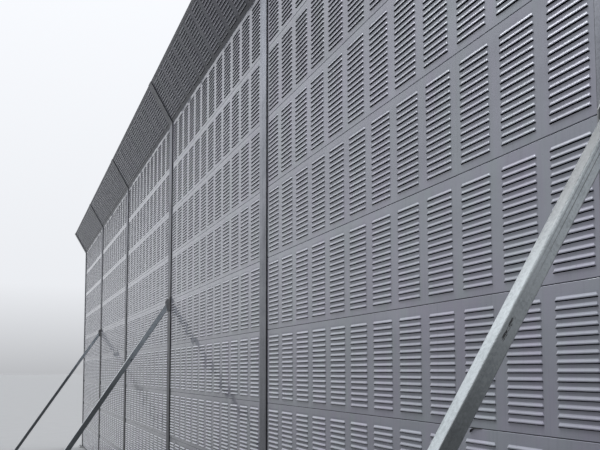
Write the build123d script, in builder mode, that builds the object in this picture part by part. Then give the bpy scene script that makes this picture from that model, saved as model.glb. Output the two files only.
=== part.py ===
from build123d import *
import os
from math import atan2, cos, radians, sin, tan

# A free-standing row of metal noise barrier. X runs along the wall from the first post, the louvred
# front faces -Y, and Z = 0 is the underside of every base plate. All sizes are in millimetres.

# Row
bay_count = 5
bay_pitch = 3000.0
row_count = 9
row_pitch = 500.0

# Clearances
seat_gap = 0.3
joint_gap = 0.4

# Posts and canted arms, one rolled wide-flange section
section_depth = 125.0
section_width = 125.0
flange_thickness = 9.0
web_thickness = 6.5
cap_angle = 30.0
cap_slant = 500.0

# Holes of the end plates and the last foot are round, and the many like them have few sides
plain_hole_sides = 8

# Base plate with four anchor holes
plate_side = 250.0
plate_thickness = 16.0
anchor_hole = 22.0
anchor_pitch = 190.0

# Acoustic panel with a tongue on its top edge and a groove in its bottom edge
panel_rear_gap = 6.7
panel_end_gap = 12.0
tongue_width = 50.0
tongue_height = 12.0
tongue_draft = 5.0
tongue_clearance = 1.0

# Louvre banks pressed in the panel's front sheet
bank_count = 12
bank_pitch = 239.0
bank_width = 177.0
louvre_count = 15
louvre_pitch = 29.0
louvre_height = 20.0
bank_centre_rise = 246.0
bank_recess = 12.0

# Folded channel over the free edge of the cap panel
strip_thickness = 2.0
strip_leg = 30.0

# Raking strut of square tube, one for so many posts
posts_per_strut_count = 2
strut_side = 50.0
strut_wall = 3.0
strut_corner = 3.0
strut_top_height = 2473.0
strut_reach = 1595.0

# Brackets at the two ends of a strut, each with two cheeks that hold the tube between them
cheek_thickness = 6.0
cheek_chamfer = 14.0
cleat_width = 100.0
cleat_height = 150.0
cleat_thickness = 8.0
cleat_cheek_root = 130.0
cleat_cheek_head = 100.0
cleat_cheek_reach = 28.0
foot_width = 210.0
foot_length = 160.0
foot_thickness = 12.0
foot_cheek_root = 130.0
foot_cheek_head = 70.0
foot_cheek_reach = 88.0
foot_pin_height = 60.0
foot_hole = 18.0
foot_hole_pitch = 150.0

# Places worked out from the sizes above
lean = radians(cap_angle)
post_bottom = plate_thickness + seat_gap
panel_thickness = section_depth - 2 * flange_thickness - seat_gap - panel_rear_gap
front_y = flange_thickness - section_depth / 2 + seat_gap
back_y = front_y + panel_thickness
tongue_y = (front_y + back_y) / 2
panel_length = bay_pitch - web_thickness - 2 * panel_end_gap
panel_start = web_thickness / 2 + panel_end_gap
panel_body = row_pitch - joint_gap
wall_top = post_bottom + row_count * row_pitch
bank_height = (louvre_count - 1) * louvre_pitch + louvre_height
crest_height = wall_top - front_y * tan(lean / 2)
cap_start = -front_y * tan(lean / 2)
cap_end = cap_start + cap_slant
arm_end = cap_end + seat_gap + strip_thickness
flange_front = -section_depth / 2
cleat_face = flange_front - seat_gap - cleat_thickness
pin_foot_y = cleat_face - strut_reach
pin_foot_z = foot_thickness + foot_pin_height
strut_angle = atan2(strut_top_height - pin_foot_z, strut_reach)
strut_length = (strut_top_height - pin_foot_z) / sin(strut_angle)
cheek_offset = strut_side / 2 + seat_gap + cheek_thickness / 2

post_places = [(number + 1, number * bay_pitch) for number in range(bay_count + 1)]
strut_places = [place for place in post_places if place[0] % posts_per_strut_count == 0]
bay_places = [(number + 1, number * bay_pitch) for number in range(bay_count)]

os.makedirs("parts", exist_ok=True)


def canted(across, along):
    """Point in the wall's cross-section, from a place across and along the canted arm."""
    return (
        across * cos(lean) - along * sin(lean),
        crest_height + across * sin(lean) + along * cos(lean),
    )


def crest_frame(x, turn):
    """Plane at the crest of the post at x, its normal leaning to the front by turn."""
    return Plane(origin=(x, 0, crest_height), x_dir=(1, 0, 0), z_dir=(0, -sin(turn), cos(turn)))


def cheek(root, head, reach):
    """Outline of a bracket's cheek, its root on the X axis."""
    with BuildSketch() as outline:
        with BuildLine():
            Polyline((-root / 2, 0), (root / 2, 0), (head / 2, reach), (-head / 2, reach), close=True)
        make_face()
        chamfer(outline.vertices().group_by(Axis.Y)[-1], cheek_chamfer)
    return outline.sketch_local


def bolt_hole(diameter, is_round):
    """Hole in the sketch of a plate."""
    if is_round:
        Circle(diameter / 2, mode=Mode.SUBTRACT)
    else:
        RegularPolygon(diameter / 2, plain_hole_sides, major_radius=False, mode=Mode.SUBTRACT)


# Profiles that several pieces share
with BuildSketch() as wide_flange:
    with Locations((0, (section_depth - flange_thickness) / 2), (0, (flange_thickness - section_depth) / 2)):
        Rectangle(section_width, flange_thickness)
    Rectangle(web_thickness, section_depth - flange_thickness)

with BuildSketch() as tongue:
    with BuildLine():
        Polyline(
            (tongue_y - tongue_width / 2, 0),
            (tongue_y - tongue_width / 2 + tongue_draft, tongue_height),
            (tongue_y + tongue_width / 2 - tongue_draft, tongue_height),
            (tongue_y + tongue_width / 2, 0),
            close=True,
        )
    make_face()

with BuildSketch() as groove:
    with BuildLine():
        Polyline(
            (tongue_y - tongue_width / 2 - tongue_clearance, 0),
            (tongue_y - tongue_width / 2 + tongue_draft - tongue_clearance, tongue_height + tongue_clearance),
            (tongue_y + tongue_width / 2 - tongue_draft + tongue_clearance, tongue_height + tongue_clearance),
            (tongue_y + tongue_width / 2 + tongue_clearance, 0),
            close=True,
        )
    make_face()

with BuildSketch() as panel_section:
    with Locations((tongue_y, panel_body / 2)):
        Rectangle(panel_thickness, panel_body)
    with Locations((0, panel_body)):
        add(tongue.sketch_local)
    add(groove.sketch_local, mode=Mode.SUBTRACT)

with BuildSketch() as cap_section:
    with BuildLine():
        Polyline(
            (front_y, wall_top),
            canted(front_y, cap_end),
            canted(back_y, cap_end),
            (back_y, crest_height + back_y * tan(lean / 2)),
            (back_y, wall_top),
            close=True,
        )
    make_face()
    with Locations((0, wall_top)):
        add(groove.sketch_local, mode=Mode.SUBTRACT)

# Posts, cut on the mitre that the canted arms stand on
for number, post_x in post_places:
    with BuildPart() as post:
        with BuildSketch(Plane((post_x, 0, post_bottom))):
            add(wide_flange.sketch_local)
        extrude(amount=crest_height + section_depth)
        split(bisect_by=crest_frame(post_x, lean / 2).offset(-seat_gap / 2), keep=Keep.BOTTOM)
    post.part.label = f"post_{number}"
    export_step(post.part, f"parts/{post.part.label}.step")

# Canted arms, the same section leaning to the front
for number, post_x in post_places:
    with BuildPart() as cap_arm:
        with BuildSketch(crest_frame(post_x, lean).offset(-section_depth)):
            add(wide_flange.sketch_local)
        extrude(amount=section_depth + arm_end)
        split(bisect_by=crest_frame(post_x, lean / 2).offset(seat_gap / 2), keep=Keep.TOP)
    cap_arm.part.label = f"cap_arm_{number}"
    export_step(cap_arm.part, f"parts/{cap_arm.part.label}.step")

# Base plates
for number, post_x in post_places:
    with BuildPart() as base_plate:
        with BuildSketch(Plane((post_x, 0, 0))):
            Rectangle(plate_side, plate_side)
            with GridLocations(anchor_pitch, anchor_pitch, 2, 2):
                bolt_hole(anchor_hole, number in (1, bay_count + 1))
        extrude(amount=plate_thickness)
    base_plate.part.label = f"base_plate_{number}"
    export_step(base_plate.part, f"parts/{base_plate.part.label}.step")

# Wall panel, its louvre banks sunk in the front face
with BuildPart() as wall_panel:
    with BuildSketch(Plane.YZ.offset(panel_start)):
        add(panel_section.sketch_local)
    extrude(amount=panel_length)
    with BuildSketch(Plane((bay_pitch / 2, front_y, bank_centre_rise), x_dir=(1, 0, 0), z_dir=(0, -1, 0))):
        with GridLocations(bank_pitch, 0, bank_count, 1):
            Rectangle(bank_width, bank_height)
    extrude(amount=-bank_recess, mode=Mode.SUBTRACT)

# Canted cap panel, its foot cut level over the tongue of the top row
bank_y, bank_z = canted(front_y, cap_start + bank_centre_rise)
with BuildPart() as leaning_panel:
    with BuildSketch(Plane.YZ.offset(panel_start)):
        add(cap_section.sketch_local)
    extrude(amount=panel_length)
    with BuildSketch(
        Plane((bay_pitch / 2, bank_y, bank_z), x_dir=(1, 0, 0), z_dir=(0, -cos(lean), -sin(lean)))
    ):
        with GridLocations(bank_pitch, 0, bank_count, 1):
            Rectangle(bank_width, bank_height)
    extrude(amount=-bank_recess, mode=Mode.SUBTRACT)

# One stack of wall panels a bay, between the flanges of two posts
for number, bay_x in bay_places:
    with BuildPart() as bay_panels:
        with Locations(*[(bay_x, 0, post_bottom + row * row_pitch) for row in range(row_count)]):
            add(wall_panel.part)
    bay_panels.part.label = f"bay_{number}_panels"
    export_step(bay_panels.part, f"parts/{bay_panels.part.label}.step")

# One cap panel a bay, between the flanges of two arms
for number, bay_x in bay_places:
    with BuildPart() as cap_panel:
        with Locations((bay_x, 0, 0)):
            add(leaning_panel.part)
    cap_panel.part.label = f"cap_panel_{number}"
    export_step(cap_panel.part, f"parts/{cap_panel.part.label}.step")

# Folded channels over the free edge, between the flanges of the arms
strip_width = panel_thickness + 2 * (seat_gap + strip_thickness)
strip_height = strip_leg + seat_gap + strip_thickness
strip_length = bay_pitch - section_width - 2 * seat_gap
strip_y, strip_z = canted(tongue_y, arm_end - strip_height / 2)
for number, bay_x in bay_places:
    strip_frame = Plane(
        origin=(bay_x + section_width / 2 + seat_gap, strip_y, strip_z),
        x_dir=(0, cos(lean), sin(lean)),
        z_dir=(1, 0, 0),
    )
    with BuildPart() as cap_strip:
        with BuildSketch(strip_frame):
            Rectangle(strip_width, strip_height)
            with Locations((0, -strip_thickness / 2)):
                Rectangle(
                    strip_width - 2 * strip_thickness,
                    strip_height - strip_thickness,
                    mode=Mode.SUBTRACT,
                )
        extrude(amount=strip_length)
    cap_strip.part.label = f"cap_strip_{number}"
    export_step(cap_strip.part, f"parts/{cap_strip.part.label}.step")

# Struts, cut level at the foot and upright at the post
for number, post_x in strut_places:
    with BuildPart() as strut:
        strut_frame = Plane(
            origin=(post_x, pin_foot_y, pin_foot_z),
            x_dir=(1, 0, 0),
            z_dir=(0, cos(strut_angle), sin(strut_angle)),
        )
        with BuildSketch(strut_frame.offset(-2 * foot_pin_height)) as tube:
            Rectangle(strut_side, strut_side)
            chamfer(tube.vertices(), strut_corner)
            Rectangle(strut_side - 2 * strut_wall, strut_side - 2 * strut_wall, mode=Mode.SUBTRACT)
        extrude(amount=strut_length + 2 * foot_pin_height + 2 * strut_side)
        split(bisect_by=Plane.XY.offset(foot_thickness + seat_gap), keep=Keep.TOP)
        split(bisect_by=Plane.XZ.offset(seat_gap - cleat_face), keep=Keep.TOP)
    strut.part.label = f"strut_{number}"
    export_step(strut.part, f"parts/{strut.part.label}.step")

# Cleats on the front flange, with a cheek on each side of the strut
for number, post_x in strut_places:
    with BuildPart() as strut_cleat:
        with BuildSketch(Plane.XZ.offset(seat_gap - flange_front)):
            with Locations((post_x, strut_top_height)):
                Rectangle(cleat_width, cleat_height)
        extrude(amount=cleat_thickness)
        for cheek_x in (post_x - cheek_offset, post_x + cheek_offset):
            with BuildSketch(Plane((cheek_x, cleat_face, strut_top_height), x_dir=(0, 0, 1), z_dir=(1, 0, 0))):
                add(cheek(cleat_cheek_root, cleat_cheek_head, cleat_cheek_reach))
            extrude(amount=cheek_thickness / 2, both=True)
    strut_cleat.part.label = f"strut_cleat_{number}"
    export_step(strut_cleat.part, f"parts/{strut_cleat.part.label}.step")

# Feet, a drilled plate with the same cheeks standing on it
for number, post_x in strut_places:
    with BuildPart() as strut_foot:
        with BuildSketch(Plane((post_x, pin_foot_y, 0))):
            Rectangle(foot_width, foot_length)
            with GridLocations(foot_hole_pitch, 0, 2, 1):
                bolt_hole(foot_hole, number == strut_places[-1][0])
        extrude(amount=foot_thickness)
        for cheek_x in (post_x - cheek_offset, post_x + cheek_offset):
            with BuildSketch(Plane((cheek_x, pin_foot_y, foot_thickness), x_dir=(0, 1, 0), z_dir=(1, 0, 0))):
                add(cheek(foot_cheek_root, foot_cheek_head, foot_cheek_reach))
            extrude(amount=cheek_thickness / 2, both=True)
    strut_foot.part.label = f"strut_foot_{number}"
    export_step(strut_foot.part, f"parts/{strut_foot.part.label}.step")
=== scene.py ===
import math

import bpy
import numpy as np
from mathutils import Matrix, Vector


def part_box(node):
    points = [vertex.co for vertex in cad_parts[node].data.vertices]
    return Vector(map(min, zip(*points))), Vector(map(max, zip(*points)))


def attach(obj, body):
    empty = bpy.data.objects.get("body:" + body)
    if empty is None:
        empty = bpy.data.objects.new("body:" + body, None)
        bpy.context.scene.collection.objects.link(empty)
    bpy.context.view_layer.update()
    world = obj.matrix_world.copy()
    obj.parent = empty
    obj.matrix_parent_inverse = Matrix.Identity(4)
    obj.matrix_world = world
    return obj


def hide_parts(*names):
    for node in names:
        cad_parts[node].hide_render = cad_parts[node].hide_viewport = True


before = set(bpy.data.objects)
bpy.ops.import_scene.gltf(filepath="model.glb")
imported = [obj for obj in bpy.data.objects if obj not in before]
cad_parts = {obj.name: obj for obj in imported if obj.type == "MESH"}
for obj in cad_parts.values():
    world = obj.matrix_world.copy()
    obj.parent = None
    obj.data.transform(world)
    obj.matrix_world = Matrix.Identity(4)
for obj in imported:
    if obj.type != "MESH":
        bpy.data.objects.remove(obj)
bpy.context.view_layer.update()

rng = np.random.default_rng(7)
MM = 0.001

# A free-standing row of noise barrier, seen from its louvred front. Sizes are in millimetres, except where a
# comment says metres. Those of this first list are the solids' own.

# Row
BAYS = 5
BAY_PITCH = 3000.0
ROWS = 9
ROW_PITCH = 500.0
SEAT_GAP = 0.3
JOINT_GAP = 0.4
PANEL_END_GAP = 12.0

# Wide-flange section of the posts and arms, from its middle, and the plate under each post
SECTION_HALF = 62.5
FLANGE_INSIDE = 53.5
WEB_HALF = 3.25
LEAN = math.radians(30)
PLATE_TOP = 16.0
ANCHOR_OUT = 95.0

# Panels
PANEL_START = WEB_HALF + PANEL_END_GAP
PANEL_LENGTH = BAY_PITCH - 2 * PANEL_START
PANEL_BODY = ROW_PITCH - JOINT_GAP
PANEL_DEPTH = 100.0
BASE = PLATE_TOP + SEAT_GAP
FRONT_Y = SEAT_GAP - FLANGE_INSIDE
WALL_TOP = BASE + ROWS * ROW_PITCH
CAP_START = -FRONT_Y * math.tan(LEAN / 2)
CREST = WALL_TOP + CAP_START
CAP_LENGTH = 500.0

# Tongue on each panel's top: half its widths at root and head, its height, and the play of the groove over it
TONGUE_ROOT = 25.0
TONGUE_HEAD = 20.0
TONGUE_HEIGHT = 12.0
GROOVE_PLAY = 1.0

# Struts of square tube between a cleat on the post and a plate on the ground
STRUTS = (2, 4, 6)
STRUT_SIDE = 50.0
STRUT_WALL = 3.0
STRUT_REACH = 1595.0
STRUT_TOP_HEIGHT = 2473.0
CLEAT_THICKNESS = 8.0
CLEAT_HALF_WIDTH = 50.0
CLEAT_HALF_HEIGHT = 75.0
CHEEK_THICKNESS = 6.0
CHEEK_ROOT_HALF = 65.0
FOOT_TOP = 12.0
FOOT_HOLE_OUT = 75.0
PIN_HEIGHT = 60.0
CLEAT_FACE = -(SECTION_HALF + SEAT_GAP + CLEAT_THICKNESS)
CHEEK_FACE = STRUT_SIDE / 2 + SEAT_GAP + CHEEK_THICKNESS
STRUT_TOP = (CLEAT_FACE, STRUT_TOP_HEIGHT)
PIN_FOOT = (CLEAT_FACE - STRUT_REACH, FOOT_TOP + PIN_HEIGHT)

# Materials


class Nodes:
    """A node tree and a short way to write it. Textures are read at place, unless a call names a source."""

    def __init__(self, tree, coordinates):
        self.tree = tree
        self.tree.nodes.clear()
        self.place = self.node("ShaderNodeTexCoord").outputs[coordinates]

    def node(self, kind, **settings):
        node = self.tree.nodes.new(kind)
        for key, value in settings.items():
            setattr(node, key, value)
        return node

    def put(self, socket, value):
        if isinstance(value, bpy.types.NodeSocket):
            self.tree.links.new(value, socket)
        else:
            socket.default_value = value

    def math(self, operation, a, b=0.0, c=0.0):
        node = self.node("ShaderNodeMath", operation=operation)
        for socket, value in zip(node.inputs, (a, b, c)):
            self.put(socket, value)
        return node.outputs[0]

    def times(self, a, b):
        return self.math("MULTIPLY", a, b)

    def off(self, value, centre):
        """Distance of the value from the centre."""
        return self.math("ABSOLUTE", self.math("SUBTRACT", value, centre))

    def span(self, value, low, high, to_low=0.0, to_high=1.0):
        """Value that runs from to_low to to_high while the given one runs from low to high."""
        node = self.node("ShaderNodeMapRange")
        for socket, given in zip(node.inputs, (value, low, high, to_low, to_high)):
            self.put(socket, given)
        return node.outputs[0]

    def scaled(self, factors, source=None):
        """The source, or the place, times a factor for each direction."""
        node = self.node("ShaderNodeVectorMath", operation="MULTIPLY")
        self.put(node.inputs[0], source or self.place)
        self.put(node.inputs[1], factors)
        return node.outputs[0]

    def xyz(self, source=None):
        node = self.node("ShaderNodeSeparateXYZ")
        self.put(node.inputs[0], source or self.place)
        return node.outputs

    def vector(self, x, y, z):
        node = self.node("ShaderNodeCombineXYZ")
        for socket, value in zip(node.inputs, (x, y, z)):
            self.put(socket, value)
        return node.outputs[0]

    def noise(self, factors, detail=3.0, rough=0.5, source=None, distortion=0.0):
        """Noise with so many waves in a metre for each direction."""
        node = self.node("ShaderNodeTexNoise")
        self.put(node.inputs["Vector"], self.scaled(factors, source))
        self.put(node.inputs["Scale"], 1.0)
        self.put(node.inputs["Detail"], detail)
        self.put(node.inputs["Roughness"], rough)
        self.put(node.inputs["Distortion"], distortion)
        return node.outputs["Fac"]

    def cells(self, factors, output="Color"):
        node = self.node("ShaderNodeTexVoronoi")
        self.put(node.inputs["Vector"], self.scaled(factors))
        self.put(node.inputs["Scale"], 1.0)
        return node.outputs[output]

    def mix(self, factor, a, b):
        """Colour a where the factor is 0 and colour b where it is 1."""
        node = self.node("ShaderNodeMix", data_type="RGBA")
        self.put(node.inputs[0], factor)
        self.put(node.inputs[6], a if isinstance(a, bpy.types.NodeSocket) else (*a, 1))
        self.put(node.inputs[7], b if isinstance(b, bpy.types.NodeSocket) else (*b, 1))
        return node.outputs[2]

    def tone(self, color, factor):
        """The colour times a grey factor."""
        node = self.node("ShaderNodeVectorMath", operation="SCALE")
        self.put(node.inputs[0], color)
        self.put(node.inputs["Scale"], factor)
        return node.outputs[0]

    def seen_ray(self):
        """1 for rays from the camera and through or off the piece, 0 for those that light it."""
        path = self.node("ShaderNodeLightPath").outputs
        seen = self.math("MAXIMUM", path["Is Camera Ray"], path["Is Glossy Ray"])
        return self.math("MAXIMUM", seen, path["Is Transmission Ray"])


class Finish(Nodes):
    """A material of one shader, whose textures are read in the object's metres or in its unrolled ones."""

    def __init__(self, name, color, metallic=0.0, roughness=0.5, coordinates="Object", **sockets):
        self.material = bpy.data.materials.new(name)
        self.material.use_nodes = True
        super().__init__(self.material.node_tree, coordinates)
        shader = self.node("ShaderNodeBsdfPrincipled")
        out = self.node("ShaderNodeOutputMaterial")
        self.tree.links.new(shader.outputs[0], out.inputs["Surface"])
        self.inputs = shader.inputs
        self.put(self.inputs["Base Color"], (*color, 1))
        self.put(self.inputs["Metallic"], metallic)
        self.put(self.inputs["Roughness"], roughness)
        for key, value in sockets.items():
            self.put(self.inputs[key.replace("_", " ")], value)

    def color(self, value):
        self.put(self.inputs["Base Color"], value)

    def rough(self, value):
        self.put(self.inputs["Roughness"], value)

    def bump(self, *layers):
        """Layers are (height, distance in metres)."""
        normal = None
        for height, distance in layers:
            node = self.node("ShaderNodeBump")
            self.put(node.inputs["Height"], height)
            self.put(node.inputs["Strength"], 1.0)
            self.put(node.inputs["Distance"], distance)
            if normal:
                self.put(node.inputs["Normal"], normal)
            normal = node.outputs[0]
        self.put(self.inputs["Normal"], normal)
        return normal


# Where the tone of the panels' sheet changes, in metres: up the wall, along the row and from front to back.
# All these changes of tone are painted light and painted shade.
PAINTED_LIGHT_HEIGHT = (0.9, 4.3)
LOW_SHADE_HEIGHT = (1.1, 2.3)
LOW_SHADE_ALONG = (10.5, 14.6)
FRONT_ONLY = (-0.04, 0.0)
FAR_ALONG = (9.5, 14.0)
FOLD_HEIGHT = CREST * MM + 0.012
FOLD_SHADE = (0.018, 0.03)


def sheet(name, shade=1.0, metal=0.22, lacquer=0.95, lacquer_roughness=0.05, dust=0.0, low_shade=0.6, far=1.0):
    """Coated sheet, whose colour is scaled by shade: over 1 it is a lit copy of the sheet, painted light, and
    under 1 a shaded copy, painted shade.

    lacquer is the weight of its clear coat, and dust that of the dust that shows at a flat angle.
    low_shade is the tone of the painted shade on the front's lower rows. far scales the tone of the first
    bays against the last one: over 1 it paints light there, and under 1 it paints shade.
    """
    g = Finish(name, (0.32, 0.32, 0.38), metallic=metal, roughness=0.36, Specular_IOR_Level=0.15,
               Coat_Weight=lacquer, Coat_Roughness=lacquer_roughness, Sheen_Weight=dust, Sheen_Roughness=0.4)
    x, y, z = g.xyz()
    row = g.math("FLOOR", g.math("DIVIDE", g.math("SUBTRACT", z, BASE * MM), ROW_PITCH * MM))
    bay = g.math("FLOOR", g.math("DIVIDE", x, BAY_PITCH * MM))
    own = g.node("ShaderNodeTexWhiteNoise", noise_dimensions="3D")
    g.put(own.inputs["Vector"], g.vector(bay, row, 3.0))
    # Upright bands of purple and green grey, which change from panel to panel
    shifted = g.vector(g.math("ADD", x, g.times(row, 3.7)), y, g.times(z, 0.35))
    band = g.noise((5.0, 1.0, 5.0), 2.0, source=shifted)
    band_fine = g.noise((19.0, 1.0, 9.0), 3.0, source=shifted)
    hue = g.math("MULTIPLY_ADD", band_fine, 0.45, g.times(band, 0.75))
    base = g.mix(g.span(hue, 0.44, 0.74), (0.322, 0.317, 0.392), (0.312, 0.340, 0.380))
    tone = g.math("MULTIPLY_ADD", own.outputs["Value"], 0.10 * shade, 0.95 * shade)
    cloud = g.noise((1.3, 1.0, 2.1), 4.0)
    tone = g.times(tone, g.span(cloud, 0.3, 0.7, 0.93, 1.07))
    # Painted light makes the upper rows lighter, and painted shade darkens the lower rows at the front,
    # except near the end of the row
    tone = g.times(tone, g.span(z, *PAINTED_LIGHT_HEIGHT, 0.93, 1.17))
    low_shaded = g.times(g.span(z, *LOW_SHADE_HEIGHT, 1.0, 0.0), g.span(x, *LOW_SHADE_ALONG, 1.0, 0.1))
    low_shaded = g.times(low_shaded, g.span(y, *FRONT_ONLY, 1.0, 0.0))
    tone = g.times(tone, g.math("MULTIPLY_ADD", low_shaded, low_shade - 1.0, 1.0))
    # Painted light on the first bays where far is over 1, and painted shade where it is under 1
    tone = g.times(tone, g.span(x, *FAR_ALONG, far, 1.0))
    # Painted shade in the fold under the cap
    tone = g.times(tone, g.span(g.off(z, FOLD_HEIGHT), *FOLD_SHADE, 0.62, 1.0))
    # Fine grain, sparse dark specks and faint runs
    grain = g.noise((420.0, 420.0, 420.0), 2.0)
    tone = g.times(tone, g.span(grain, 0.2, 0.8, 0.97, 1.03))
    dots = g.cells((31.0, 31.0, 31.0), output="Distance")
    speck = g.span(dots, 0.02, 0.055, 1.0, 0.0)
    run = g.noise((70.0, 10.0, 2.2), 3.0, source=shifted)
    tone = g.times(tone, g.span(run, 0.52, 0.8, 1.0, 0.9))
    g.color(g.mix(g.times(speck, 0.55), g.tone(base, tone), (0.05, 0.05, 0.055)))
    g.rough(g.span(g.noise((14.0, 3.0, 26.0), 4.0), 0.25, 0.75, 0.30, 0.42))
    # The sheet is slightly wavy, and so is the lacquer on it
    normal = g.bump((g.noise((3.1, 1.0, 4.3), 1.0), 0.0055), (g.noise((11.0, 1.0, 16.0), 1.0), 0.0005))
    g.put(g.inputs["Coat Normal"], normal)
    return g.material


def felt():
    """Black felt behind the louvres. It is also the seal in the joints, whose black partly paints the shade
    there, and it paints the shade on the hoods' undersides.
    """
    g = Finish("panel_inside_felt", (0.006, 0.006, 0.009), roughness=0.95, Specular_IOR_Level=0.05)
    fibre = g.noise((700.0, 900.0, 260.0), 4.0)
    g.color(g.mix(fibre, (0.004, 0.004, 0.006), (0.013, 0.013, 0.017)))
    g.bump((fibre, 0.0004))
    return g.material


def rubber():
    """Weathered black rubber with a grey bloom."""
    g = Finish("flange_seal_rubber", (0.013, 0.013, 0.014), roughness=0.75)
    bloom = g.noise((60.0, 60.0, 9.0), 4.0)
    g.color(g.mix(g.span(bloom, 0.4, 0.7), (0.011, 0.011, 0.012), (0.024, 0.024, 0.026)))
    g.rough(g.span(bloom, 0.3, 0.7, 0.65, 0.85))
    g.bump((g.noise((900.0, 900.0, 300.0), 2.0), 0.00005))
    return g.material


# Wear of the struts and the painted reflection and shade on them, in metres. Places round and along a tube
# are its unrolled ones.
# Those along it count from the strut's number, so no two tubes look the same.
SIDE_REFLECTION_HEIGHT = (1.62, 2.25)
SHADE_HEIGHT = (1.95, 2.3)
# Each scuff: place round and along the tube, and its reach each way
SCUFFS = ((0.1790, 8.122, 0.009, 0.056), (0.1600, 6.148, 0.012, 0.024))
# Each scored line: place round the tube and strength
SCORES = ((0.1866, 0.45), (0.1745, 0.75))
SCORE_HALF = (0.0007, 0.0016)
SCORE_START = (8.25, 8.5)


def tube_wear_and_painted_light(g, body):
    """Painted reflection on a strut's sides, dark towards the foot and light towards the top, painted shade
    on an upper face that darkens upwards, and scuffs and scored lines.
    """
    coords = g.node("ShaderNodeTexCoord").outputs
    side = g.math("ABSOLUTE", g.xyz(coords["Normal"])[0])
    height = g.math("MULTIPLY_ADD", g.noise((9.0, 14.0, 1.0), 4.0), 0.12, g.xyz(coords["Object"])[2])
    # Painted reflection on the sides and painted shade on the upper face, by height
    side_tone = g.span(height, *SIDE_REFLECTION_HEIGHT, 0.33, 1.4)
    top_tone = g.span(height, *SHADE_HEIGHT, 0.92, 0.25)
    body = g.tone(body, g.math("MULTIPLY_ADD", side, g.math("SUBTRACT", side_tone, top_tone), top_tone))
    mottle = g.noise((330.0, 120.0, 1.0), 5.0, 0.75)
    body = g.tone(body, g.span(mottle, 0.3, 0.7, 0.86, 1.14))
    u, v, _ = g.xyz()
    rub = g.noise((230.0, 48.0, 1.0), 4.0, 0.75, distortion=1.2)
    for at_u, at_v, half_u, half_v in SCUFFS:
        off_u = g.math("DIVIDE", g.off(u, at_u), half_u)
        off_v = g.math("DIVIDE", g.off(v, at_v), half_v)
        near = g.span(g.math("MAXIMUM", off_u, off_v), 0.55, 1.0, 1.0, 0.0)
        mark = g.span(g.math("MULTIPLY_ADD", near, 0.42, rub), 0.86, 0.92)
        body = g.mix(g.times(mark, near), body, (0.012, 0.012, 0.014))
    for at_u, strength in SCORES:
        line = g.times(g.span(g.off(u, at_u), *SCORE_HALF, strength, 0.0), g.span(v, *SCORE_START))
        body = g.mix(line, body, (0.05, 0.052, 0.055))
    return body


# Where the painted reflection on the posts changes their tone, in metres, and its factors there
LOW_HEIGHT = (2.0, 3.4)
HIGH_HEIGHT = (3.2, 4.7)
POSTS_ALONG = (9.5, 11.5)
LOW_TONE = (0.38, 0.85)
HIGH_TONE = (1.0, 2.2)
FIRST_TONE = 0.5


def post_painted_reflection(g, body):
    """Painted reflection on the posts: dark low down and bright under the cap, and the first ones darker than
    the last two.
    """
    x, _, z = g.xyz()
    level = g.math("MULTIPLY_ADD", g.noise((3.0, 3.0, 0.8), 3.0), 1.2, z)
    body = g.tone(body, g.span(level, *LOW_HEIGHT, *LOW_TONE))
    body = g.tone(body, g.span(level, *HIGH_HEIGHT, *HIGH_TONE))
    return g.tone(body, g.span(x, *POSTS_ALONG, FIRST_TONE, 1.0))


def zinc(name, light, dark, grain=None, roughness=(0.42, 0.58), metallic=0.15, streak=1.0, spangle=130.0,
         scuffed=False, wear_and_painted_light=None, coordinates="Object"):
    """Hot-dip zinc: spangle, dull patches, dark marks, and runs along the grain.

    grain is the number of an axis or none, and spangle the number of crystals in a metre.
    roughness is that of the light and of the dark parts, and the last argument a function that adds the
    piece's own wear and the painted light and shade on it.
    """
    def stretched(fine, long):
        return tuple(long if i == grain else fine for i in range(3))

    g = Finish(name, light, metallic=metallic, roughness=0.45, coordinates=coordinates)
    cell = g.xyz(g.cells((spangle,) * 3))[0]
    patch = g.noise((7.0, 7.0, 7.0), 5.0, 0.6, distortion=0.6)
    lines = g.noise(stretched(95.0, 2.2), 4.0, 0.65)
    wide = g.noise(stretched(24.0, 0.9), 3.0, 0.6)
    mixed = g.math("MULTIPLY_ADD", cell, 0.16, g.times(patch, 0.42))
    mixed = g.math("ADD", mixed, g.times(g.math("ADD", lines, wide), 0.32 * streak))
    body = g.mix(g.span(mixed, 0.38, 0.74), dark, light)
    marks = g.noise(stretched(150.0, 9.0), 5.0, 0.75)
    body = g.mix(g.span(marks, 0.66, 0.74, 0.0, 0.55), body, tuple(0.35 * c for c in dark))
    if scuffed:
        spots = g.noise((28.0, 28.0, 9.0), 6.0, 0.8, distortion=1.5)
        body = g.mix(g.span(spots, 0.66, 0.73, 0.0, 0.85), body, (0.02, 0.02, 0.02))
    if wear_and_painted_light:
        body = wear_and_painted_light(g, body)
    g.color(body)
    g.rough(g.span(mixed, 0.35, 0.75, roughness[1], roughness[0]))
    g.bump((patch, 0.0012), (lines, 0.00015), (g.noise((600.0,) * 3, 2.0), 0.00004))
    return g.material


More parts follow.
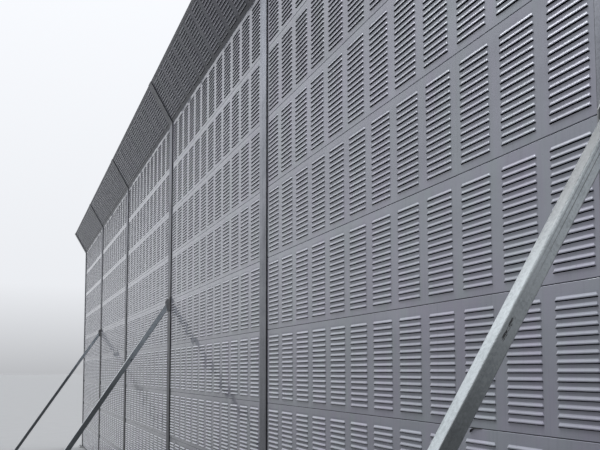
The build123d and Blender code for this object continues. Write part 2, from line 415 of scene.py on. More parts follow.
# The hoods are a lit copy of the sheet, painted light, and brighter still in the first bays. The strips
# between the hoods are darker in the first bays and the low rows, which is painted shade. The cap's sheet is
# a shaded copy, painted shade, and its hoods are a lit copy of it.
SHEET = sheet("panel_sheet_coated")
HOOD = sheet("panel_hood_coated", shade=1.48, metal=0.12, lacquer=0.9, lacquer_roughness=0.38, dust=0.85,
             low_shade=1.0, far=1.4)
BETWEEN = sheet("panel_between_hoods_coated", shade=1.04, lacquer=0.6, low_shade=0.4, far=0.6)
CAP_SHEET = sheet("cap_sheet_coated", shade=0.42, lacquer=0.4)
CAP_HOOD = sheet("cap_hood_coated", shade=1.0, metal=0.12, lacquer=0.65, lacquer_roughness=0.38, dust=0.4)
FELT = felt()
RUBBER = rubber()
POST = zinc("post_galvanised", (0.345, 0.36, 0.405), (0.17, 0.18, 0.21), grain=2, roughness=(0.36, 0.52),
            metallic=0.3, wear_and_painted_light=post_painted_reflection)
# The arms are a darker copy of the posts' zinc: painted shade
ARM = zinc("arm_galvanised", (0.26, 0.265, 0.28), (0.13, 0.135, 0.145), grain=2, roughness=(0.36, 0.52),
           metallic=0.3)
PLATE = zinc("plate_galvanised", (0.36, 0.37, 0.38), (0.19, 0.20, 0.205), spangle=90.0)
TUBE = zinc("tube_galvanised", (0.52, 0.57, 0.60), (0.24, 0.275, 0.295), grain=1, roughness=(0.3, 0.46),
            streak=1.2, scuffed=True, wear_and_painted_light=tube_wear_and_painted_light, coordinates="UV")
STRIP = zinc("strip_coated", (0.34, 0.345, 0.36), (0.26, 0.265, 0.28), grain=0, streak=0.6, spangle=40.0)
BOLT = zinc("bolt_zinc", (0.42, 0.43, 0.44), (0.22, 0.225, 0.23), spangle=400.0)
WELD = zinc("weld_zinc_paint", (0.36, 0.365, 0.37), (0.15, 0.15, 0.155), spangle=300.0)

# Meshes


def build(name, points, faces, materials, marks=None, smooth=None, tiles=1):
    """Mesh object from points in metres. The faces are those of one tile, and serve for each of the tiles."""
    points = np.asarray(points, np.float64).reshape(-1, 3)
    step = len(points) // tiles
    counts = np.array([len(f) for f in faces])
    loops = np.concatenate([np.asarray(f) for f in faces])
    loops = (loops[None, :] + step * np.arange(tiles)[:, None]).ravel()
    starts = np.concatenate([[0], np.cumsum(counts)[:-1]])
    starts = (starts[None, :] + counts.sum() * np.arange(tiles)[:, None]).ravel()
    mesh = bpy.data.meshes.new(name)
    mesh.vertices.add(len(points))
    mesh.vertices.foreach_set("co", points.ravel())
    mesh.loops.add(len(loops))
    mesh.loops.foreach_set("vertex_index", loops)
    mesh.polygons.add(len(starts))
    mesh.polygons.foreach_set("loop_start", starts)
    if marks is not None:
        mesh.polygons.foreach_set("material_index", np.tile(marks, tiles))
    if smooth is None:
        smooth = np.zeros(len(faces), bool)
    mesh.polygons.foreach_set("use_smooth", np.tile(smooth, tiles))
    for material in materials:
        mesh.materials.append(material)
    mesh.update(calc_edges=True)
    mesh.validate()
    piece = bpy.data.objects.new(name, mesh)
    bpy.context.scene.collection.objects.link(piece)
    return piece


def settle(piece, slot, *nodes):
    """The piece rides on the row and stands for the nodes. Its slot is not used."""
    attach(piece, "root")
    if nodes:
        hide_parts(*nodes)


def in_metres(points):
    return np.array([tuple(p) for p in points]) * MM


def polygon(sides, turn=0.0):
    """Corners of a regular polygon, one unit from its middle."""
    angles = [turn + 2 * math.pi * i / sides for i in range(sides)]
    return [(math.cos(angle), math.sin(angle)) for angle in angles]


def skin(rings, sides, closed=False):
    """Faces between neighbouring rings of points, and the two ends of an open stack."""
    around = []
    for i in range(rings if closed else rings - 1):
        j = (i + 1) % rings
        for k in range(sides):
            m = (k + 1) % sides
            around.append([i * sides + k, i * sides + m, j * sides + m, j * sides + k])
    ends = [] if closed else [list(range(sides))[::-1], [(rings - 1) * sides + k for k in range(sides)]]
    return around, ends


UP = (0, 0, 1)
ROUND = polygon(16)

# A fastener's washer and head as shares of its width across the flats, the crown as a share of the head,
# and the thread as shares of the thread's width
WASHER_RADIUS = 0.62
WASHER_TOP_RADIUS = 0.59
WASHER_HEIGHT = 0.1
HEAD_HEIGHT = 0.54
CROWN_RADIUS = 0.9
THREAD_START = 0.42
THREAD_CREST = 0.5
THREAD_ROOT = 0.43
THREAD_END = 0.4

# Small sizes of a fastener
WASHER_FOLD = 0.4
HEAD_CROWN = 1.2
THREAD_PITCH = 2.0
THREAD_INSIDE = 1.0

# Weld bead: its sides, and as shares of its radius the distance between its rings, the least size of a ring,
# what every second ring has more, and the most that chance adds
BEAD_SIDES = 6
BEAD_STEP = 1.6
BEAD_LEAST = 0.86
BEAD_LUMP = 0.2
BEAD_CHANCE = 0.1
# Direction that no path runs along
ASKEW = Vector((0.31, 0.52, 0.79))


class Solid:
    """Collects shapes, in millimetres, into one mesh."""

    def __init__(self):
        self.points = []
        self.faces = []
        self.smooth = []

    def add(self, points, faces, smooth=False):
        first = len(self.points)
        self.points += points
        self.faces += [[first + i for i in face] for face in faces]
        self.smooth += [smooth] * len(faces)

    def turned(self, outline, heights, centre, axis):
        """Stack of rings on the axis. The outline has unit size, and heights are (radius, distance along)."""
        axis = Vector(axis).normalized()
        side = axis.orthogonal().normalized()
        up = axis.cross(side)
        points = []
        for radius, along in heights:
            for a, b in outline:
                points.append(Vector(centre) + axis * along + side * (a * radius) + up * (b * radius))
        around, ends = skin(len(heights), len(outline))
        self.add(points, around + ends)

    def fastener(self, seat, axis, across, turn, shank=None, tail=0.0):
        """Washer and hexagon on the seat, and the threaded end that stands out of it."""
        low = across * WASHER_HEIGHT
        high = low + across * HEAD_HEIGHT
        rim = across * WASHER_RADIUS
        washer = [(rim, 0), (rim, low - WASHER_FOLD), (across * WASHER_TOP_RADIUS, low)]
        self.turned(ROUND, washer, seat, axis)
        corner = across / math.sqrt(3)
        hexagon = [(corner, low), (corner, high - HEAD_CROWN), (corner * CROWN_RADIUS, high)]
        self.turned(polygon(6, turn), hexagon, seat, axis)
        if shank:
            top = high + tail
            threads = [(shank * THREAD_START, high - THREAD_INSIDE)]
            along = high
            while along < top - THREAD_PITCH:
                threads += [(shank * THREAD_CREST, along), (shank * THREAD_ROOT, along + THREAD_PITCH / 2)]
                along += THREAD_PITCH
            threads.append((shank * THREAD_END, top))
            self.turned(ROUND, threads, seat, axis)

    def bead(self, path, radius, closed=False):
        """Weld bead: a lumpy rod along the path."""
        path = [Vector(p) for p in path]
        stations = []
        for a, b in zip(path, path[1:] + path[:1] if closed else path[1:]):
            steps = max(2, int((b - a).length / (radius * BEAD_STEP)))
            stations += [a.lerp(b, i / steps) for i in range(steps)]
        if not closed:
            stations.append(path[-1])
        n = len(stations)
        points = []
        for i, place in enumerate(stations):
            before = stations[i - 1] if closed or i else place
            after = stations[(i + 1) % n] if closed or i < n - 1 else place
            along = (after - before).normalized()
            side = along.cross(ASKEW).normalized()
            up = along.cross(side)
            size = radius * (BEAD_LEAST + BEAD_LUMP * (i % 2) + BEAD_CHANCE * rng.random())
            points += [place + side * (a * size) + up * (b * size) for a, b in polygon(BEAD_SIDES)]
        around, ends = skin(n, BEAD_SIDES, closed)
        self.add(points, around + ends, True)

    def piece(self, name, material):
        return build(name, in_metres(self.points), self.faces, (material,), smooth=self.smooth)


# Louvred panels

# Banks of louvres in a panel's face
BANKS = 12
BANK_PITCH = 239.0
BANK_HALF = 88.5
BANK_SHIFT = 9.0
LOUVRES = 15
LOUVRE_PITCH = 29.0
FIRST_LOUVRE = 34.6
BANK_TOP = FIRST_LOUVRE + LOUVRES * LOUVRE_PITCH
FIRST_BANK = (PANEL_LENGTH - (BANKS - 1) * BANK_PITCH) / 2
BANK_STARTS = [FIRST_BANK + i * BANK_PITCH - BANK_HALF for i in range(BANKS)]

# One louvre: a slot, the hood pressed out over it, and the dark pocket behind both
MOUTH = 3.0
HOOD_TOP = 16.8
HOOD_OUT = 5.6
HOOD_TAPER = 6.5
# Each point of a hood's corner seen from above: distance from its end, and share of how far it stands out
HOOD_CORNER = ((0.0, 0.0), (1.6, 0.62), (4.6, 1.0), (8.0, 1.0))
# Each line of points up a hood: share of its rise, and share of how far it stands out, more at the lip
HOOD_LINES = ((0.0, 1.0), (0.5, 0.46), (1.0, 0.0))
SHEET_GAUGE = 0.9
LIP_TURN = 0.1
POCKET = 12.0
POCKET_TOP = HOOD_TOP - 3.0

# Folds of a panel's edges, and the dark seal in the joint under each panel, whose black also paints the shade
# in the joint
EDGE = 1.6
EDGE_MIDDLE = 0.6
CAP_EDGE_MIDDLE = (0.4, -0.7)
SEAL_SETBACK = 5.0
SEAL_HEIGHT = 1.8
JOINT_HEIGHT = 2 * SEAL_HEIGHT
JOINT_DEPTH = 30.0

# Marks of a panel's faces, which are places in its list of materials
FLAT, DARK, HOODS, BETWEEN_HOODS = range(4)


class Panel:
    """One panel. A point is (along the row, up the sheet, out of the sheet).

    rest is the section's outline behind the louvred sheet, from the top of the sheet round to its bottom.
    A point that slides moves sideways with the louvre banks.
    """

    def __init__(self, rest):
        self.points, self.slides, self.index = [], [], {}
        self.faces, self.marks, self.smooth = [], [], []
        for start in BANK_STARTS:
            for k in range(LOUVRES):
                self.louvre(start, start + 2 * BANK_HALF, FIRST_LOUVRE + k * LOUVRE_PITCH)
        self.margins(rest[0][0], rest[-1][0])
        self.back(rest)

    def at(self, x, v, w=0.0):
        """Number of the point at this place, which the first call for the place makes."""
        key = (round(x, 2), round(v, 2), round(w, 2))
        if key not in self.index:
            self.index[key] = len(self.points)
            self.points.append((x, v, w))
            self.slides.append(0.0 if x <= 0.0 or x >= PANEL_LENGTH else 1.0)
        return self.index[key]

    def face(self, corners, mark=FLAT, smooth=False):
        self.faces.append(corners)
        self.marks.append(mark)
        self.smooth.append(smooth)

    def louvre(self, start, end, foot):
        """Hood, lip, pocket and the flat sheet round the hood."""
        grid = []
        for rise, out in HOOD_LINES:
            v = foot + MOUTH + (HOOD_TOP - MOUTH) * rise
            taper = HOOD_TAPER * rise
            left = [(start + taper + d, v, HOOD_OUT * out * h) for d, h in HOOD_CORNER]
            right = [(end - taper - d, v, HOOD_OUT * out * h) for d, h in reversed(HOOD_CORNER)]
            grid.append([self.at(*p) for p in left + right])
        last = len(grid[0]) - 1
        for low, high in zip(grid, grid[1:]):
            for i in range(last):
                self.face([low[i], low[i + 1], high[i + 1], high[i]], HOODS, True)
        lip = grid[0]
        inner = [lip[0]]
        for i in lip[1:-1]:
            x, _, out = self.points[i]
            inner.append(self.at(x, foot + MOUTH - LIP_TURN, out - SHEET_GAUGE))
        inner.append(lip[-1])
        self.face([lip[0], inner[1], lip[1]])
        for i in range(1, last - 1):
            self.face([lip[i], inner[i], inner[i + 1], lip[i + 1]])
        self.face([lip[-2], inner[-2], lip[-1]])
        deep = [self.at(x, foot + POCKET_TOP, -POCKET) for x in (start, end)]
        floor = [self.at(x, foot, -POCKET) for x in (start, end)]
        sill = [self.at(x, foot) for x in (start, end)]
        # The hood's underside and the pocket's roof take the felt's black: painted shade under the hood
        self.face([inner[0], deep[0], deep[1]] + inner[:0:-1], DARK)
        self.face([floor[0], floor[1], deep[1], deep[0]], DARK)
        self.face([sill[0], sill[1], floor[1], floor[0]], DARK)
        self.face([sill[0], floor[0], deep[0], lip[0]], DARK)
        self.face([lip[-1], deep[1], floor[1], sill[1]], DARK)
        top = foot + LOUVRE_PITCH
        left_end = [line[0] for line in grid[:-1]]
        right_end = [line[-1] for line in grid[:-1]]
        corners = [self.at(start, top)] + left_end + grid[-1] + right_end[::-1] + [self.at(end, top)]
        self.face(corners, BETWEEN_HOODS)

    def side(self, x):
        """Points up one side of a bank, or up one end of the panel."""
        if x in (0.0, PANEL_LENGTH):
            levels = [FIRST_LOUVRE, BANK_TOP]
        else:
            feet = [FIRST_LOUVRE + k * LOUVRE_PITCH for k in range(LOUVRES)]
            levels = [v for foot in feet for v in (foot, foot + MOUTH)] + [BANK_TOP]
        return [self.at(x, v) for v in levels]

    def margins(self, top, bottom):
        """Flat sheet beside, under and over the banks."""
        places = [0.0] + [x for start in BANK_STARTS for x in (start, start + 2 * BANK_HALF)] + [PANEL_LENGTH]
        for left, right in zip(places[::2], places[1::2]):
            self.face(self.side(right) + self.side(left)[::-1])
        foot = [self.at(0.0, bottom), self.at(PANEL_LENGTH, bottom)]
        self.face(foot + [self.at(x, FIRST_LOUVRE) for x in places[::-1]])
        self.face([self.at(x, BANK_TOP) for x in places] + [self.at(PANEL_LENGTH, top), self.at(0.0, top)])

    def back(self, rest):
        """Edges, back and ends."""
        for (va, wa), (vb, wb) in zip(rest, rest[1:]):
            # Faces in the joint under the panel are the dark seal, whose black also paints the shade in the
            # joint
            under = max(va, vb) < JOINT_HEIGHT and -JOINT_DEPTH < min(wa, wb) and max(wa, wb) <= -EDGE
            corners = [(0.0, va, wa), (PANEL_LENGTH, va, wa), (PANEL_LENGTH, vb, wb), (0.0, vb, wb)]
            self.face([self.at(*p) for p in corners], DARK if under else FLAT)
        loop = [(FIRST_LOUVRE, 0.0), (BANK_TOP, 0.0)] + rest
        self.face([self.at(PANEL_LENGTH, v, w) for v, w in loop])
        self.face([self.at(0.0, v, w) for v, w in reversed(loop)])

    def shifted(self):
        """Its points, with the banks a little out of line with those of other panels."""
        points = np.array(self.points)
        points[:, 0] += np.array(self.slides) * rng.uniform(-BANK_SHIFT, BANK_SHIFT)
        return points


def folded(v, w, dv, dw):
    """Three points round a folded edge at (v, w). dv and dw point away from the corner along its faces."""
    return [(v + dv * EDGE, w), (v + dv * EDGE_MIDDLE, w + dw * EDGE_MIDDLE), (v, w + dw * EDGE)]


def tongue(v, middle, play=0.0):
    """Section of the tongue that stands on height v, or with play that of its groove."""
    root, head, top = TONGUE_ROOT + play, TONGUE_HEAD + play, v + TONGUE_HEIGHT + play
    return [(v, middle + root), (top, middle + head), (top, middle - head), (v, middle - root)]


def wall_rest():
    outline = folded(PANEL_BODY, 0.0, -1, -1)
    outline += tongue(PANEL_BODY, -PANEL_DEPTH / 2)
    outline += folded(PANEL_BODY, -PANEL_DEPTH, -1, 1)[::-1]
    outline += folded(0.0, -PANEL_DEPTH, 1, 1)
    outline += tongue(0.0, -PANEL_DEPTH / 2, GROOVE_PLAY)[::-1]
    outline += [(0.0, -SEAL_SETBACK), (SEAL_HEIGHT, -SEAL_SETBACK)]
    outline += folded(SEAL_HEIGHT, 0.0, 1, -1)[::-1]
    return outline


def cap_rest():
    """The cap panel is mitred at its foot, where it stands on the wall."""
    def canted(z, y):
        rise = z - CREST
        across = y * math.cos(LEAN) + rise * math.sin(LEAN)
        along = rise * math.cos(LEAN) - y * math.sin(LEAN)
        return along - CAP_START, FRONT_Y - across

    back = FRONT_Y + PANEL_DEPTH
    outline = folded(CAP_LENGTH, 0.0, -1, -1)
    outline += folded(CAP_LENGTH, -PANEL_DEPTH, -1, 1)[::-1]
    outline += [canted(CREST + back * math.tan(LEAN / 2), back)]
    outline += [canted(WALL_TOP + EDGE, back), canted(WALL_TOP, back - EDGE)]
    outline += [canted(*p) for p in tongue(WALL_TOP, FRONT_Y + PANEL_DEPTH / 2, GROOVE_PLAY)]
    outline += [canted(WALL_TOP, FRONT_Y + EDGE), CAP_EDGE_MIDDLE, (EDGE, 0.0)]
    return outline


def place_on_wall(points, bay, row):
    """Points of a panel, moved to their places in the row."""
    x = bay * BAY_PITCH + PANEL_START + points[:, 0]
    return np.stack([x, FRONT_Y - points[:, 2], BASE + row * ROW_PITCH + points[:, 1]], 1)


def place_on_cap(points, bay):
    x = bay * BAY_PITCH + PANEL_START + points[:, 0]
    across = FRONT_Y - points[:, 2]
    along = CAP_START + points[:, 1]
    y = across * math.cos(LEAN) - along * math.sin(LEAN)
    z = CREST + across * math.sin(LEAN) + along * math.cos(LEAN)
    return np.stack([x, y, z], 1)


wall_panel = Panel(wall_rest())
cap_panel = Panel(cap_rest())
for bay in range(BAYS):
    rows = [place_on_wall(wall_panel.shifted(), bay, row) for row in range(ROWS)]
    stack = build(f"louvred_stack_{bay + 1}", np.concatenate(rows) * MM, wall_panel.faces,
                  (SHEET, FELT, HOOD, BETWEEN), wall_panel.marks, wall_panel.smooth, ROWS)
    settle(stack, "panel_sheet", f"bay_{bay + 1}_panels")
    cap = build(f"louvred_cap_{bay + 1}", place_on_cap(cap_panel.shifted(), bay) * MM, cap_panel.faces,
                (CAP_SHEET, FELT, CAP_HOOD, CAP_SHEET), cap_panel.marks, cap_panel.smooth)
    settle(cap, "panel_sheet", f"cap_panel_{bay + 1}")


# Struts

# Corners of the tube, outside and inside
TUBE_CORNER = 5.0
TUBE_CORNER_INSIDE = 2.5
CORNER_STEPS = 4


def post_place(number):
    return (number - 1) * BAY_PITCH


def rounded_square(half, radius):
    """Outline, anticlockwise."""
    loop = []
    for k in range(4):
        corner = math.pi / 4 + k * math.pi / 2
        cx = math.copysign(half - radius, math.cos(corner))
        cy = math.copysign(half - radius, math.sin(corner))
        for i in range(CORNER_STEPS + 1):
            angle = k * math.pi / 2 + i * math.pi / 2 / CORNER_STEPS
            loop.append((cx + radius * math.cos(angle), cy + radius * math.sin(angle)))
    return loop


def unroll(piece, points, outer, centre, along, number):
    """Texture places of a tube: round it, and along it from its foot plus its number, in metres."""
    n = len(outer)
    reach = [0.0]
    for (a, b), (c, d) in zip(outer, outer[1:]):
        reach.append(reach[-1] + math.hypot(c - a, d - b))
    girth = reach[-1] + STRUT_SIDE - 2 * TUBE_CORNER
    layer = piece.data.uv_layers.new(name="unrolled")
    for face in piece.data.polygons:
        ids = [piece.data.loops[k].vertex_index for k in face.loop_indices]
        wraps = any(i % n == 0 for i in ids) and any(i % n == n - 1 for i in ids)
        for k, i in zip(face.loop_indices, ids):
            around = girth if wraps and i % n == 0 else reach[i % n]
            length = (Vector(points[i]) - centre).dot(along)
            layer.data[k].uv = (around * MM, length * MM + number)


def strut(number):
    """Square tube from its foot to its post, cut level at the foot and upright at the top."""
    low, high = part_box(f"strut_{number}")
    foot_z, top_y = low.z / MM, high.y / MM
    along = Vector((0, STRUT_TOP[0] - PIN_FOOT[0], STRUT_TOP[1] - PIN_FOOT[1])).normalized()
    side = Vector((1, 0, 0))
    up = side.cross(along)
    centre = Vector((post_place(number), *PIN_FOOT))
    outer = rounded_square(STRUT_SIDE / 2, TUBE_CORNER)
    inner = rounded_square(STRUT_SIDE / 2 - STRUT_WALL, TUBE_CORNER_INSIDE)
    n = len(outer)
    # Four rings of n points: outside at the foot and at the top, then inside
    points = []
    for loop in (outer, inner):
        lines = [centre + side * a + up * b for a, b in loop]
        points += [p + along * ((foot_z - p.z) / along.z) for p in lines]
        points += [p + along * ((top_y - p.y) / along.y) for p in lines]
    faces, smooth = [], []
    for i in range(n):
        j = (i + 1) % n
        faces.append([i, j, n + j, n + i])
        faces.append([2 * n + j, 2 * n + i, 3 * n + i, 3 * n + j])
        faces.append([i, 2 * n + i, 2 * n + j, j])
        faces.append([n + i, n + j, 3 * n + j, 3 * n + i])
        in_corner = i % (CORNER_STEPS + 1) != CORNER_STEPS
        smooth += [in_corner, in_corner, False, False]
    piece = build(f"strut_tube_{number}", in_metres(points), faces, (TUBE,), smooth=smooth)
    unroll(piece, points, outer, centre, along, number)
    settle(piece, "galvanised_tube", f"strut_{number}")


for number in STRUTS:
    strut(number)


# Fixings and seals

# Anchors and bolts: width across the flats, shank, and how far the thread stands out
ANCHOR = (30, 20, 14)
FOOT_ANCHOR = (24, 16, 12)
PIN_BOLT = (24, 16, 8)
PIN_TURNS = (0.3, 0.1)
# Rod of an anchor in its hole: radius, where it starts over the ground, and how far it runs into the washer
ANCHOR_ROD = 9.5
FOOT_ROD = 7.8
ROD_START = 0.2
ROD_END = 1.0

# Weld beads: radius, and how far they stop from the end of an edge
POST_BEAD = 4.0
MITRE_BEAD = 2.2
CHEEK_BEAD = 2.4
CLEAT_BEAD = 2.6
BEAD_END = 2.0
POST_BEAD_HEIGHT = PLATE_TOP + 1.5
CLEAT_BEAD_Y = -(SECTION_HALF + 0.5)


def section_outline():
    """Outline of the wide-flange section: one half, and the same turned round."""
    a, b, c = SECTION_HALF, FLANGE_INSIDE, WEB_HALF
    half = [(-a, -a), (a, -a), (a, -b), (c, -b), (c, b), (a, b)]
    return half + [(-x, -y) for x, y in half]


def ground_anchor(anchors, x, y, top, rod, across, shank, tail):
    """Anchor through a plate: its rod in the hole, and the nut with the end of the thread."""
    anchors.fastener((x, y, top), UP, across, rng.random(), shank, tail)
    anchors.turned(ROUND, [(rod, ROD_START), (rod, top + ROD_END)], (x, y, 0), UP)


def post_fixings(number):
    x = post_place(number)
    anchors = Solid()
    for dx in (-ANCHOR_OUT, ANCHOR_OUT):
        for dy in (-ANCHOR_OUT, ANCHOR_OUT):
            ground_anchor(anchors, x + dx, dy, PLATE_TOP, ANCHOR_ROD, *ANCHOR)
    settle(anchors.piece(f"anchors_{number}", BOLT), "galvanised_plate")
    welds = Solid()
    outline = [(x + a, b) for a, b in section_outline()]
    welds.bead([(a, b, POST_BEAD_HEIGHT) for a, b in outline], POST_BEAD, True)
    welds.bead([(a, b, CREST + b * math.tan(LEAN / 2)) for a, b in outline], MITRE_BEAD, True)
    settle(welds.piece(f"post_welds_{number}", WELD), "galvanised_post")


# Section of the black seal beside a flange, which also paints the shadow at the flange's edge: distance out
# from the flange's edge, and rise from the sheet
SEAL_PROFILE = ((0.2, 0.2), (4.2, 0.2), (4.6, 3.4), (3.0, 6.6), (0.2, 7.2))
SEAL_END = 2.0


def flange_seals_and_painted_shadow(number):
    """Seals between the post's front flange and the panels on each side that has panels, whose black also
    paints the shadow in the gap at the flange's edges.
    """
    seals_and_shadow = Solid()
    for side, last in ((-1, 1), (1, BAYS + 1)):
        if number == last:
            continue
        edge = post_place(number) + side * SECTION_HALF
        ring = [(edge + side * out, FRONT_Y - rise) for out, rise in SEAL_PROFILE]
        points = [(x, y, z) for z in (BASE + SEAL_END, WALL_TOP - SEAL_END) for x, y in ring]
        around, ends = skin(2, len(ring))
        faces = around + ends
        seals_and_shadow.add(points, faces if side < 0 else [face[::-1] for face in faces])
    settle(seals_and_shadow.piece(f"flange_seals_and_painted_shadow_{number}", RUBBER), "galvanised_post")


# Path of the seal that has come out of the joint under the fourth panel of the last bay and hangs in a hook.
# Each point has the seal's half height there.
LOOSE_SEAL = (
    (14352.0, -51.5, 1515.8, 1.0), (14328.0, -54.2, 1516.0, 1.8), (14306.0, -55.6, 1515.8, 2.1),
    (14293.0, -56.4, 1513.0, 2.6), (14285.0, -56.6, 1507.0, 2.8), (14279.0, -56.2, 1500.0, 1.8),
)
LOOSE_SIDES = 8
LOOSE_DEPTH = 1.3


def loose_seal():
    points = []
    for i, (x, y, z, size) in enumerate(LOOSE_SEAL):
        before = LOOSE_SEAL[max(i - 1, 0)]
        after = LOOSE_SEAL[min(i + 1, len(LOOSE_SEAL) - 1)]
        run = Vector((after[0] - before[0], 0, after[2] - before[2])).normalized()
        across = Vector((-run.z, 0, run.x))
        out = Vector((0, -LOOSE_DEPTH, 0))
        centre = Vector((x, y, z))
        points += [centre + across * (size * a) + out * (size * b) for a, b in polygon(LOOSE_SIDES)]
    around, _ = skin(len(LOOSE_SEAL), LOOSE_SIDES)
    loose = Solid()
    loose.add(points, around, True)
    # The ends have points of their own, so they look cut
    loose.add(points[:LOOSE_SIDES], [list(range(LOOSE_SIDES))[::-1]])
    loose.add(points[-LOOSE_SIDES:], [list(range(LOOSE_SIDES))])
    settle(loose.piece("loose_seal", RUBBER), "panel_sheet")


def strut_fixings(number):
    x = post_place(number)
    foot_y = PIN_FOOT[0]
    top_z = STRUT_TOP[1]
    across, shank, tail = PIN_BOLT
    bolts = Solid()
    bolts.fastener((x + CHEEK_FACE, *PIN_FOOT), (1, 0, 0), across, PIN_TURNS[0], shank, tail)
    bolts.fastener((x - CHEEK_FACE, *PIN_FOOT), (-1, 0, 0), across, PIN_TURNS[1])
    for dx in (-FOOT_HOLE_OUT, FOOT_HOLE_OUT):
        ground_anchor(bolts, x + dx, foot_y, FOOT_TOP, FOOT_ROD, *FOOT_ANCHOR)
    settle(bolts.piece(f"strut_bolts_{number}", BOLT), "galvanised_plate")
    welds = Solid()
    root = CHEEK_ROOT_HALF - BEAD_END
    wide = CLEAT_HALF_WIDTH - BEAD_END
    tall = CLEAT_HALF_HEIGHT - BEAD_END
    for side in (-1, 1):
        cheek_x = x + side * CHEEK_FACE
        welds.bead([(cheek_x, STRUT_TOP[0], top_z - root), (cheek_x, STRUT_TOP[0], top_z + root)], CHEEK_BEAD)
        welds.bead([(cheek_x, foot_y - root, FOOT_TOP), (cheek_x, foot_y + root, FOOT_TOP)], CHEEK_BEAD)
        edge_z = top_z + side * CLEAT_HALF_HEIGHT
        welds.bead([(x - wide, CLEAT_BEAD_Y, edge_z), (x + wide, CLEAT_BEAD_Y, edge_z)], CLEAT_BEAD)
        edge_x = x + side * CLEAT_HALF_WIDTH
        welds.bead([(edge_x, CLEAT_BEAD_Y, top_z - tall), (edge_x, CLEAT_BEAD_Y, top_z + tall)], CLEAT_BEAD)
    settle(welds.piece(f"strut_welds_{number}", WELD), "galvanised_plate")


for number in range(1, BAYS + 2):
    post_fixings(number)
for number in range(1, BAYS + 2):
    flange_seals_and_painted_shadow(number)
loose_seal()
for number in STRUTS:
    strut_fixings(number)


# Solids that stay: their material, and the width of their softened edges
KEPT_SOLIDS = {
    "post": (POST, 1.0),
    "cap_arm": (ARM, 1.0),
    "base_plate": (PLATE, 1.2),
    "cap_strip": (STRIP, 0.5),
    "strut_cleat": (PLATE, 1.0),
    "strut_foot": (PLATE, 1.0),
}
JOIN_REACH = 0.02
SHARP = math.radians(35)


def finish_solid(node, material, width):
    """Gives a solid its material, joins its faces and softens its sharp edges."""
    node.data.materials.clear()
    node.data.materials.append(material)
    joined = node.modifiers.new("joined", "WELD")
    joined.merge_threshold = JOIN_REACH * MM
    bevel = node.modifiers.new("soft_edges", "BEVEL")
    bevel.width = width * MM
    bevel.segments = 2
    bevel.limit_method = "ANGLE"
    bevel.angle_limit = SHARP


for name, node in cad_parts.items():
    kind = name.rsplit("_", 1)[0]
    if kind in KEPT_SOLIDS:
        finish_solid(node, *KEPT_SOLIDS[kind])


# Studio, in metres
FLOOR_REACH = 400.0


def studio_floor():
    """Pale where it is seen, and darker where it only lights the row."""
    g = Finish("studio_floor", (0.62, 0.63, 0.64), roughness=0.9, Specular_IOR_Level=0.1)
    pale = g.mix(g.noise((2.0, 2.0, 2.0), 4.0), (0.247, 0.252, 0.261), (0.273, 0.278, 0.287))
    g.color(g.mix(g.seen_ray(), (0.07, 0.07, 0.076), pale))
    corners = [(-FLOOR_REACH, -FLOOR_REACH, 0), (FLOOR_REACH, -FLOOR_REACH, 0),
               (FLOOR_REACH, FLOOR_REACH, 0), (-FLOOR_REACH, FLOOR_REACH, 0)]
    floor = build("floor", corners, [[0, 1, 2, 3]], (g.material,))


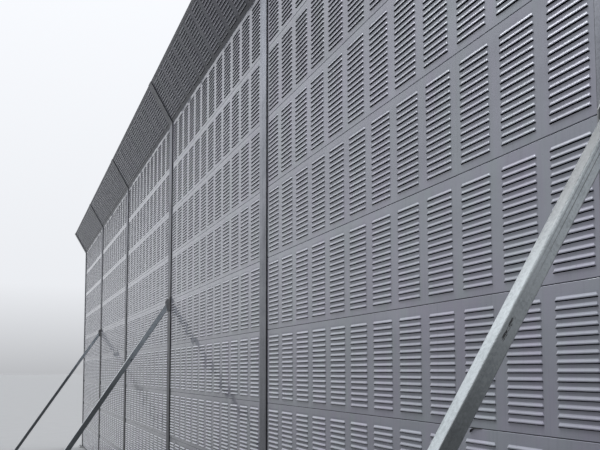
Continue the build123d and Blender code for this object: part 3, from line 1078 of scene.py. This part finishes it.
def studio_world():
    """Soft light that is stronger from above and from the far end of the row, and a pale backdrop."""
    world = bpy.data.worlds.new("studio")
    bpy.context.scene.world = world
    world.use_nodes = True
    w = Nodes(world.node_tree, "Generated")
    x, _, z = w.xyz()
    overhead = w.scaled(w.span(z, 0.0, 1.0, 0.2, 1.0), w.span(z, 0.0, 1.0, 0.25, 1.0))
    sky = w.scaled(w.span(x, -1.0, 1.0, 1.6, 0.4), overhead)
    backdrop = w.scaled(w.span(z, 0.12, 0.5, 1.0, 1.14), w.span(z, 0.0, 0.12, 0.52, 0.86))
    backdrop = w.scaled(w.span(z, 0.5, 0.95, 1.0, 2.4), backdrop)
    backdrop = w.scaled((0.97, 0.99, 1.03), backdrop)
    background = w.node("ShaderNodeBackground")
    w.put(background.inputs["Color"], w.mix(w.seen_ray(), sky, backdrop))
    out = w.node("ShaderNodeOutputWorld")
    w.tree.links.new(background.outputs[0], out.inputs["Surface"])


def soft_lamp(name, energy, spread, towards):
    """Wide lamp far away; towards is the direction to it, and spread its angle in degrees."""
    lamp = bpy.data.lights.new(name, "SUN")
    lamp.energy = energy
    lamp.angle = math.radians(spread)
    lamp.color = (0.98, 0.99, 1.0)
    light = bpy.data.objects.new(name, lamp)
    light.rotation_mode = "QUATERNION"
    light.rotation_quaternion = Vector(towards).to_track_quat("Z", "Y")
    bpy.context.scene.collection.objects.link(light)


# Camera: place in metres and direction in radians, which bring the row where the photograph shows it.
# Its focal length and its shift are in pixels of a picture that is 600 wide.
CAMERA_PLACE = (16.4176, -1.691, 1.7349)
YAW = 0.4086
PITCH = math.radians(4)
ROLL = -0.0019
PICTURE_WIDTH = 600
FOCAL_LENGTH = 675.2
SHIFT_UP = 98.7
SENSOR_WIDTH = 36.0
NEAREST = 0.05
FARTHEST = 900


def photograph_camera():
    data = bpy.data.cameras.new("camera")
    data.sensor_width = SENSOR_WIDTH
    data.lens = FOCAL_LENGTH / PICTURE_WIDTH * SENSOR_WIDTH
    data.shift_y = SHIFT_UP / PICTURE_WIDTH
    data.clip_start = NEAREST
    data.clip_end = FARTHEST
    forward = Vector((-math.cos(YAW) * math.cos(PITCH), math.sin(YAW) * math.cos(PITCH), math.sin(PITCH)))
    right = forward.cross(Vector(UP)).normalized()
    up = right.cross(forward)
    rolled_right = right * math.cos(ROLL) + up * math.sin(ROLL)
    rolled_up = up * math.cos(ROLL) - right * math.sin(ROLL)
    axes = Matrix((rolled_right, rolled_up, -forward)).transposed()
    camera = bpy.data.objects.new("camera", data)
    camera.matrix_world = Matrix.Translation(CAMERA_PLACE) @ axes.to_4x4()
    bpy.context.scene.collection.objects.link(camera)
    return camera


studio_floor()
studio_world()
soft_lamp("soft_key", 3.4, 50, (-0.32, -0.17, 0.93))
soft_lamp("back_fill", 1.3, 60, (-0.12, 0.82, 0.56))
bpy.context.scene.camera = photograph_camera()
bpy.context.scene.view_settings.view_transform = "Standard"
